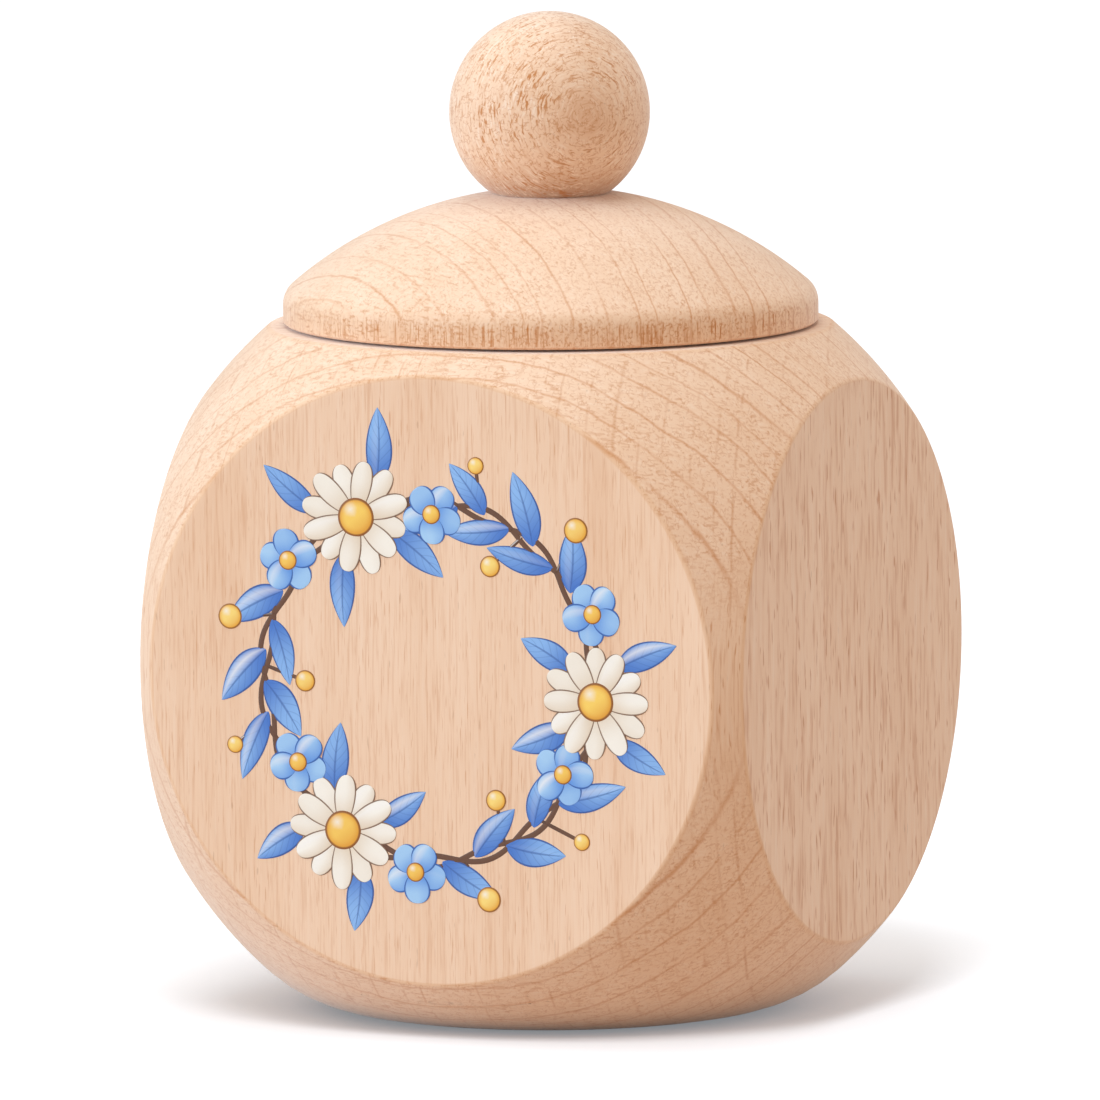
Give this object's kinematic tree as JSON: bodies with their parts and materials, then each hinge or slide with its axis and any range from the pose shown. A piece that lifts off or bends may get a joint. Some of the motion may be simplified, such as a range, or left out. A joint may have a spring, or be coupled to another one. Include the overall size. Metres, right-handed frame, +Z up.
{
  "type": "tooth keepsake box",
  "caption": "Small turned wooden keepsake box: a ball with round flats, drilled hollow inside, closed by a domed lift-off lid with a ball knob.",
  "frame": {"origin": "centre of the flat base, on the axis of the hollow", "axes": "+Z up along the hollow and lid axis; the front face looks along -Y; +X to the right seen from the front"},
  "size_m": [0.0488, 0.0456, 0.0747],
  "materials": {
    "beech_box": "fine sanded bare beech, satin",
    "beech_lid": "fine sanded bare beech, satin",
    "beech_knob": "fine sanded bare beech, satin",
    "beech_dowel": "ribbed bare beech, matte",
    "print_ink": "cured ink film, soft gloss"
  },
  "bodies": {
    "box": {"box_body": "beech_box"},
    "lid": {"lid": "beech_lid", "knob_ball": "beech_knob", "knob_dowel": "beech_dowel"}
  },
  "joints": [
    {"name": "lid_lift", "type": "slide", "parent": "box", "child": "lid", "axis": [0, 0, 1], "range_m": [0, 0.05]}
  ]
}
